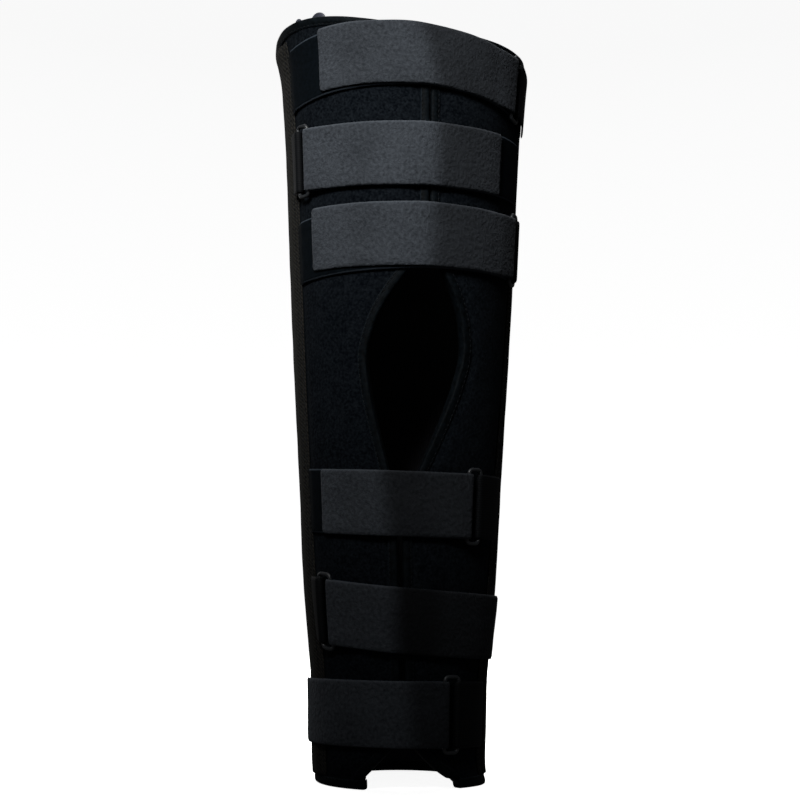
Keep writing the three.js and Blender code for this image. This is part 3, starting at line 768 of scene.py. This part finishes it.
for tip in stay_tips:
    seat = -foam_thickness - inside_rest - tape_lift - 2 * clearance
    middle = tip["angle"] * DEGREE
    rim_level = brace_height + rim_rise(np.array(middle))
    turns = np.linspace(0, 2 * math.pi, tip_sides, endpoint=False)[None, :]
    climb = np.linspace(0, 1, tip_steps)[:, None]
    top = rim_level + tape_lift + tip["rise"] - tip_cut
    low = rim_level - stay_seat
    dome = tip["width"] / 3
    level = low + (top - low) * (1 - (1 - climb) ** 1.6)
    rounding = np.sqrt(np.clip(1 - ((level - (top - dome)).clip(0) / dome) ** 2, 0, 1))
    thin = 0.3 + 0.7 * np.sqrt(rounding)
    sideways = np.sign(np.cos(turns)) * np.abs(np.cos(turns)) ** 0.6 * tip["width"] / 2 * rounding
    through = np.sign(np.sin(turns)) * np.abs(np.sin(turns)) ** 0.8 * stay_thickness / 2 * thin
    angle = middle + sideways / half_width(brace_height)
    points = on_brace(angle, level + 0 * angle, seat - stay_thickness / 2 + through)
    pattern = np.stack(np.broadcast_arrays(sideways, level), -1) * MM
    faces = swept_faces(*points.shape[:2])
    piece = make_piece(tip["node"] + "_dipped", points, faces, pattern, (dipped_vinyl,))
    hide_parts(tip["node"])

# Straps
# The real pieces are 50 mm nylon straps with a brushed loop face and a smooth woven back. Each is sewn
# under the stay pocket on one side, goes through the ring on the other, and fastens back over itself.
strap_thickness = 1.8
base_lift = 1.8
layer_gap = 0.4
bar_radius = 1.5
settle_length = 22
ring_slot = 11.8
return_lift = max(base_lift + strap_thickness + layer_gap, clearance + pocket_rise + clearance)
bar_lift = base_lift + strap_thickness + clearance + bar_radius
corner_radius = 1.3
strap_ridge = 2.0
route_step = 1.6
across_points = 27
bend_points = 25
pattern_shift = 97
root_tuck = 1.75
root_length = 9
strap_ridge_place = -6
strap_ridge_reach = 15
drawn_from = -60
drawn_length = 145
# Where painted shade darkens a strap's nap, standing in for light that falls off: past its crease, less so
# beyond that, at the right side of the brace, which faces away from the light, in degrees, and in a band left
# of the middle, given by its place and reach.
painted_crease_span = (-7, 11)
painted_beyond_span = (24, 44)
painted_beyond_return = 0.2
painted_right_span = (50, 61)
painted_right_depth = 0.42
painted_band = (-33, 17)
painted_band_depth = 0.15

# Brushed loop nylon: a charcoal nap that lies in small swirls, dull, with lighter tips and sealed edges.
# The tufts are drawn 2.5 mm wide and the swirls 8 mm, about twice the real ones, so that they show.
strap_nap, tree, shader = new_material(
    "charcoal_brushed_loop", Roughness=0.92, Sheen_Weight=0.05, Sheen_Roughness=0.5, Specular_IOR_Level=0.1)
shader.inputs["Sheen Tint"].default_value = linear("#c5ccd6")
cloth_place = add_node(tree, "ShaderNodeTexCoord").outputs["UV"]
combed = add_node(tree, "ShaderNodeMapping", {"Vector": cloth_place, "Scale": (1.0, 0.75, 1.0)})
tufts = add_node(tree, "ShaderNodeTexNoise", {
    "Vector": combed.outputs["Vector"], "Scale": noise_scale(2.5), "Detail": 3.0, "Roughness": 0.6})
swirls = add_node(tree, "ShaderNodeTexNoise", {
    "Vector": cloth_place, "Scale": noise_scale(8), "Detail": 3.0, "Distortion": 1.5})
brushed = add_node(tree, "ShaderNodeTexNoise", {
    "Vector": cloth_place, "Scale": noise_scale(35), "Detail": 2.0})
nap_height = add_node(tree, "ShaderNodeMix", {
    "Factor": 0.2, "A": tufts.outputs["Fac"], "B": swirls.outputs["Fac"]})
blend = add_node(tree, "ShaderNodeMix", {
    "Factor": 0.25, "A": nap_height.outputs["Result"], "B": brushed.outputs["Fac"]})
split = add_node(tree, "ShaderNodeSeparateXYZ", {"Vector": cloth_place})
off_middle = add_node(tree, "ShaderNodeMath", {0: split.outputs["Y"]}, operation="ABSOLUTE")
sealed = add_node(tree, "ShaderNodeMapRange", {
    "Value": off_middle.outputs["Value"], "From Min": 23.2 * MM, "From Max": 24.6 * MM,
    "To Min": 0.0, "To Max": 0.2})
mixed = add_node(tree, "ShaderNodeMath", {
    0: blend.outputs["Result"], 1: sealed.outputs["Result"]}, operation="ADD")
tone = tone_ramp(tree, mixed.outputs["Value"], (0.36, "#24272b"), (0.66, "#3b3f44"))
# Painted shade: the nap's colour is scaled by each point's painted shade, darker past the crease, at the
# right side and in a band left of the middle.
painted_shade = add_node(tree, "ShaderNodeAttribute", attribute_name="painted_shade")
painted_shade_tone = add_node(tree, "ShaderNodeVectorMath", {
    "Vector": tone, "Scale": painted_shade.outputs["Fac"]}, operation="SCALE")
tree.links.new(painted_shade_tone.outputs["Vector"], shader.inputs["Base Color"])
add_relief(tree, shader, nap_height.outputs["Result"], 1.0, 2.1)

# The strap's woven back: flat black nylon with cross ribs, 1.4 mm apart, and a pale line at each selvedge.
strap_back, tree, shader = new_material("woven_nylon_back", Roughness=0.8, Specular_IOR_Level=0.04)
cloth_place = add_node(tree, "ShaderNodeTexCoord").outputs["UV"]
ribs = add_node(tree, "ShaderNodeTexWave", {
    "Vector": cloth_place, "Scale": rib_scale(1.4), "Distortion": 0.5})
lint = add_node(tree, "ShaderNodeTexNoise", {"Vector": cloth_place, "Scale": noise_scale(3), "Detail": 4.0})
split = add_node(tree, "ShaderNodeSeparateXYZ", {"Vector": cloth_place})
off_middle = add_node(tree, "ShaderNodeMath", {0: split.outputs["Y"]}, operation="ABSOLUTE")
selvedge = add_node(tree, "ShaderNodeMapRange", {
    "Value": off_middle.outputs["Value"], "From Min": 23.7 * MM, "From Max": 24.1 * MM,
    "To Min": 0.0, "To Max": 1.0})
mixed = add_node(tree, "ShaderNodeMath", {
    0: lint.outputs["Fac"], 1: selvedge.outputs["Result"]}, operation="ADD")
tone = tone_ramp(tree, mixed.outputs["Value"], (0.3, "#010406"), (0.75, "#060b10"), (1.0, "#2a3036"))
tree.links.new(tone, shader.inputs["Base Color"])
add_relief(tree, shader, ribs.outputs["Fac"], 0.5, 0.3)


def touch_angle(point, radius, way):
    """The angle, seen from a bar, at which a straight run from a point touches a layer bent round it."""
    x, y = point[0], point[1] - bar_lift
    return math.atan2(y, x) % (2 * math.pi) + way * math.acos(radius / math.hypot(x, y))


def bend_round_bar(start, settle, end, radius):
    """The route of a layer that bends round a bar and goes back over itself, x along and y the lift."""
    low = touch_angle(start, radius, 1) - 2 * math.pi
    high = touch_angle(settle, radius, -1)
    turns = np.linspace(low, high, bend_points)
    bend = np.stack([radius * np.cos(turns), bar_lift + radius * np.sin(turns)], -1)
    marks = np.concatenate([[start], bend, [settle], [end]])
    run = run_lengths(marks)
    stops = [run[0]]
    for a, b in zip(run[:-1], run[1:]):
        stops.extend(np.linspace(a, b, max(1, math.ceil((b - a) / route_step)) + 1)[1:])
    return at_lengths(stops, run, marks)


def painted_strap_shade(strap, length, angle, past):
    """The painted shade on a strap's nap, as a share of its colour, at a length and an angle round the front,
    and a length past the crease: darker where the strap turns away from the light.
    """
    painted_crease_dark = strap["painted_crease_depth"] * ease(past, *painted_crease_span) * (1 - painted_beyond_return * ease(past, *painted_beyond_span))
    painted_right_dark = 1 - painted_right_depth * ease(angle / DEGREE, *painted_right_span)
    place, reach = painted_band
    return strap["painted_shading"] * (1 - painted_crease_dark) * painted_right_dark * (1 - painted_band_depth * np.exp(-((length - place) / reach) ** 2))


def make_layer(name, strap, bar, way, route, thickness, materials, seed, is_strap=True):
    """A strap or a tab along its route, with soft rounded edges and a little waviness. A strap has a free
    end with rounded corners, and a tab follows the pocket's edge with both of its ends."""
    radius = half_width(strap["height"] * brace_height)
    before, after = np.roll(route, 1, 0), np.roll(route, -1, 0)
    before[0], after[-1] = route[0], route[-1]
    along = unit(after - before)
    normal = np.stack([-along[:, 1], along[:, 0]], -1)
    run = run_lengths(route)
    share = np.linspace(-1, 1, across_points)
    share = np.sign(share) * np.abs(share) ** 0.8
    half_thick = thickness / 2 * np.sqrt(np.clip(1 - np.abs(share) ** 26, 0.02, 1))
    across = np.concatenate([share, share[::-1]]) * strap_width / 2
    offset = np.concatenate([half_thick, -half_thick[::-1]])
    narrow = np.ones(len(route))
    if is_strap:
        to_end = np.clip(run[-1] - run, 0, corner_radius)
        cut = corner_radius - np.sqrt(corner_radius ** 2 - (corner_radius - to_end) ** 2)
        narrow -= cut / (strap_width / 2)
    at = route[:, None, :] + normal[:, None, :] * offset[None, :, None]
    base_angle = bar + way * at[..., 0] / radius
    late = (np.arange(len(route)) >= len(route) / 2)[:, None]
    towards_end = np.clip(at[..., 0] / route[0, 0], 0, 1)
    slip = strap["slip"] * strap_width if is_strap else 0
    level = strap_level(strap, base_angle) - np.where(late, 0, slip * towards_end ** 2)
    wide = across[None, :] * narrow[:, None]
    from_crease = base_angle * radius - strap["crease"]
    pulled = np.clip((from_crease - drawn_from) / drawn_length, 0, 1) if is_strap else 1
    wide = wide - strap["drawn"] * pulled * (wide / strap_width + 0.5)
    slide = (pocket_front(-way, level + wide) - pocket_front(-way, level)) * towards_end
    slide = np.where(late & is_strap, 0, slide)
    angle = base_angle + slide
    height = level + wide
    away = ease(-at[..., 0], 6, 20)
    soft = 0.28 * waves(angle * radius, height, 46, 61) + 0.14 * waves(angle * radius, height, 19, 62)
    past = angle * radius - strap["crease"] + strap["slant"] * wide
    turned_over = strap_ridge * np.exp(-((past - strap_ridge_place) / strap_ridge_reach) ** 2)
    lift = at[..., 1] + (away * soft + turned_over if is_strap else 0)
    points = on_brace(angle, height, lift)
    pattern = np.stack(np.broadcast_arrays(run[:, None] + seed * pattern_shift, wide), -1) * MM
    faces = swept_faces(*points.shape[:2])
    material_of = np.zeros(len(faces), int)
    face_across = np.arange((len(route) - 1) * len(across)) % len(across)
    material_of[:len(face_across)] = face_across < across_points - 1
    piece = make_piece(name, points, faces, pattern, materials, material_of if is_strap else None)
    # Painted shade: each point's share of the nap's colour, darker where the strap turns away from the light.
    painted_shade = piece.data.attributes.new("painted_shade", "FLOAT", "POINT")
    painted_shading = painted_strap_shade(strap, angle * radius, angle, past)
    painted_shade.data.foreach_set("value", painted_shading.astype(np.float32).ravel())
    return piece


def ring_bars(strap):
    """The angle of the bar that a strap turns round, and of the bar that its tab holds."""
    radius = half_width(strap["height"] * brace_height)
    front = strap["fold"] * DEGREE - strap["side"] * (bar_radius + clearance + strap_thickness) / radius
    return front, front + strap["side"] * ring_slot / radius


for number, strap in enumerate(straps):
    radius = half_width(strap["height"] * brace_height)
    bar = ring_bars(strap)[0]
    under = pocket_front(-strap["side"], strap["height"] * brace_height)
    sewn = pocket_front(-strap["side"], strap_level(strap, under) - strap["slip"] * strap_width)
    start = -abs(bar - sewn) * radius + 0.1
    end = -abs(bar - strap["end"] * DEGREE) * radius
    middle = strap_thickness / 2
    route = bend_round_bar((start, base_lift + middle), (-settle_length, return_lift + middle),
                           (end, return_lift + middle), bar_radius + clearance + middle)
    tuck = 1 - ease(route[:, 0] - start, 0, root_length)
    tuck[len(route) // 2:] = 0
    route[:, 1] -= root_tuck * tuck
    piece = make_layer(strap["name"] + "_napped", strap, bar, strap["side"], route, strap_thickness,
                       (strap_nap, strap_back), number)
    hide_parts(strap["name"])

# Ring tabs
# The real pieces are short loops of plain woven webbing. Each is sewn under the stay pocket's edge, and
# holds its ring by the bar that the strap doesn't use.
tab_thickness = 1.4

# Plain woven polypropylene webbing: black, slightly glossy yarns in ribs along the loop, 1.8 mm apart.
tab_webbing, tree, shader = new_material(
    "woven_polypropylene_webbing", Roughness=0.7, Specular_IOR_Level=0.09)
cloth_place = add_node(tree, "ShaderNodeTexCoord").outputs["UV"]
turned = add_node(tree, "ShaderNodeMapping", {"Vector": cloth_place, "Rotation": (0, 0, 90 * DEGREE)})
ribs = add_node(tree, "ShaderNodeTexWave", {
    "Vector": turned.outputs["Vector"], "Scale": rib_scale(1.8), "Distortion": 0.4})
lint = add_node(tree, "ShaderNodeTexNoise", {"Vector": cloth_place, "Scale": noise_scale(3), "Detail": 3.0})
blend = add_node(tree, "ShaderNodeMix", {"Factor": 0.5, "A": ribs.outputs["Fac"], "B": lint.outputs["Fac"]})
tone = tone_ramp(tree, blend.outputs["Result"], (0.2, "#020304"), (0.9, "#090b0e"))
tree.links.new(tone, shader.inputs["Base Color"])
add_relief(tree, shader, blend.outputs["Result"], 0.5, 0.4)

for number, strap in enumerate(straps):
    radius = half_width(strap["height"] * brace_height)
    bar = ring_bars(strap)[1]
    edge = pocket_front(strap["side"], strap_level(strap, bar))
    reach = -abs(edge - bar) * radius + 0.1
    low = base_lift + tab_thickness / 2
    high = low + tab_thickness + clearance
    bend = bar_radius + clearance + tab_thickness / 2
    route = bend_round_bar((reach, low), (reach, high), (reach - 0.01, high), bend)[:-1]
    node = strap["name"].replace("strap", "ring_tab")
    piece = make_layer(node + "_woven", strap, bar, -strap["side"], route, tab_thickness, (tab_webbing,),
                       number + 10, is_strap=False)
    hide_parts(node)

# Rings
# The real pieces are rectangular loops of moulded black nylon, with round bars and rounded corners. The
# strap turns round one long bar and the tab holds the other.
ring_end_play = 2
ring_corner = 3.2
ring_sides = 14
corner_steps = 8
ring_step = 2.5

# Moulded nylon: black with a soft gloss that shows as small glints on the corners.
moulded_nylon, tree, shader = new_material(
    "moulded_black_nylon", Base_Color=linear("#16191c"), Roughness=0.45, IOR=1.53, Specular_IOR_Level=0.5)
place = add_node(tree, "ShaderNodeTexCoord").outputs["Object"]
grain = add_node(tree, "ShaderNodeTexNoise", {"Vector": place, "Scale": noise_scale(1.5), "Detail": 3.0})
gloss = add_node(tree, "ShaderNodeMapRange", {
    "Value": grain.outputs["Fac"], "To Min": 0.38, "To Max": 0.55})
tree.links.new(gloss.outputs["Result"], shader.inputs["Roughness"])
add_relief(tree, shader, grain.outputs["Fac"], 0.15, 0.2)

for strap in straps:
    radius = half_width(strap["height"] * brace_height)
    middle = sum(ring_bars(strap)) / 2
    half_across = ring_slot / 2
    half_long = (strap_width - strap["drawn"]) / 2 + ring_end_play + bar_radius
    path = []
    for x, y, first_turn in ((1, 1, 0), (-1, 1, 90), (-1, -1, 180), (1, -1, 270)):
        for turn in np.linspace(first_turn, first_turn + 90, corner_steps + 1) * DEGREE:
            path.append((x * (half_across - ring_corner) + ring_corner * math.cos(turn),
                         y * (half_long - ring_corner) + ring_corner * math.sin(turn)))
    path = np.array(path + path[:1])
    run = run_lengths(path)
    path = at_lengths(np.unique(np.concatenate([run[:-1], np.arange(0, run[-1], ring_step)])), run, path)
    angle = middle + path[:, 0] / radius
    level = strap_level(strap, angle) + path[:, 1] - strap["drawn"] / 2
    centre = on_brace(angle, level, bar_lift)
    out = skin_outwards(angle, level, bar_lift) / MM
    forward = unit(np.roll(centre, -1, 0) - np.roll(centre, 1, 0))
    across = unit(np.cross(out, forward))
    out = np.cross(forward, across)
    turns = np.linspace(0, 2 * math.pi, ring_sides, endpoint=False)[None, :, None]
    round_bar = out[:, None] * np.cos(turns) + across[:, None] * np.sin(turns)
    node = strap["name"].replace("strap", "ring")
    pattern = np.zeros((len(path), ring_sides, 2))
    faces = swept_faces(len(path), ring_sides, loop=True)
    piece = make_piece(node + "_moulded", centre[:, None] + round_bar * bar_radius * MM, faces, pattern,
                       (moulded_nylon,))
    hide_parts(node)
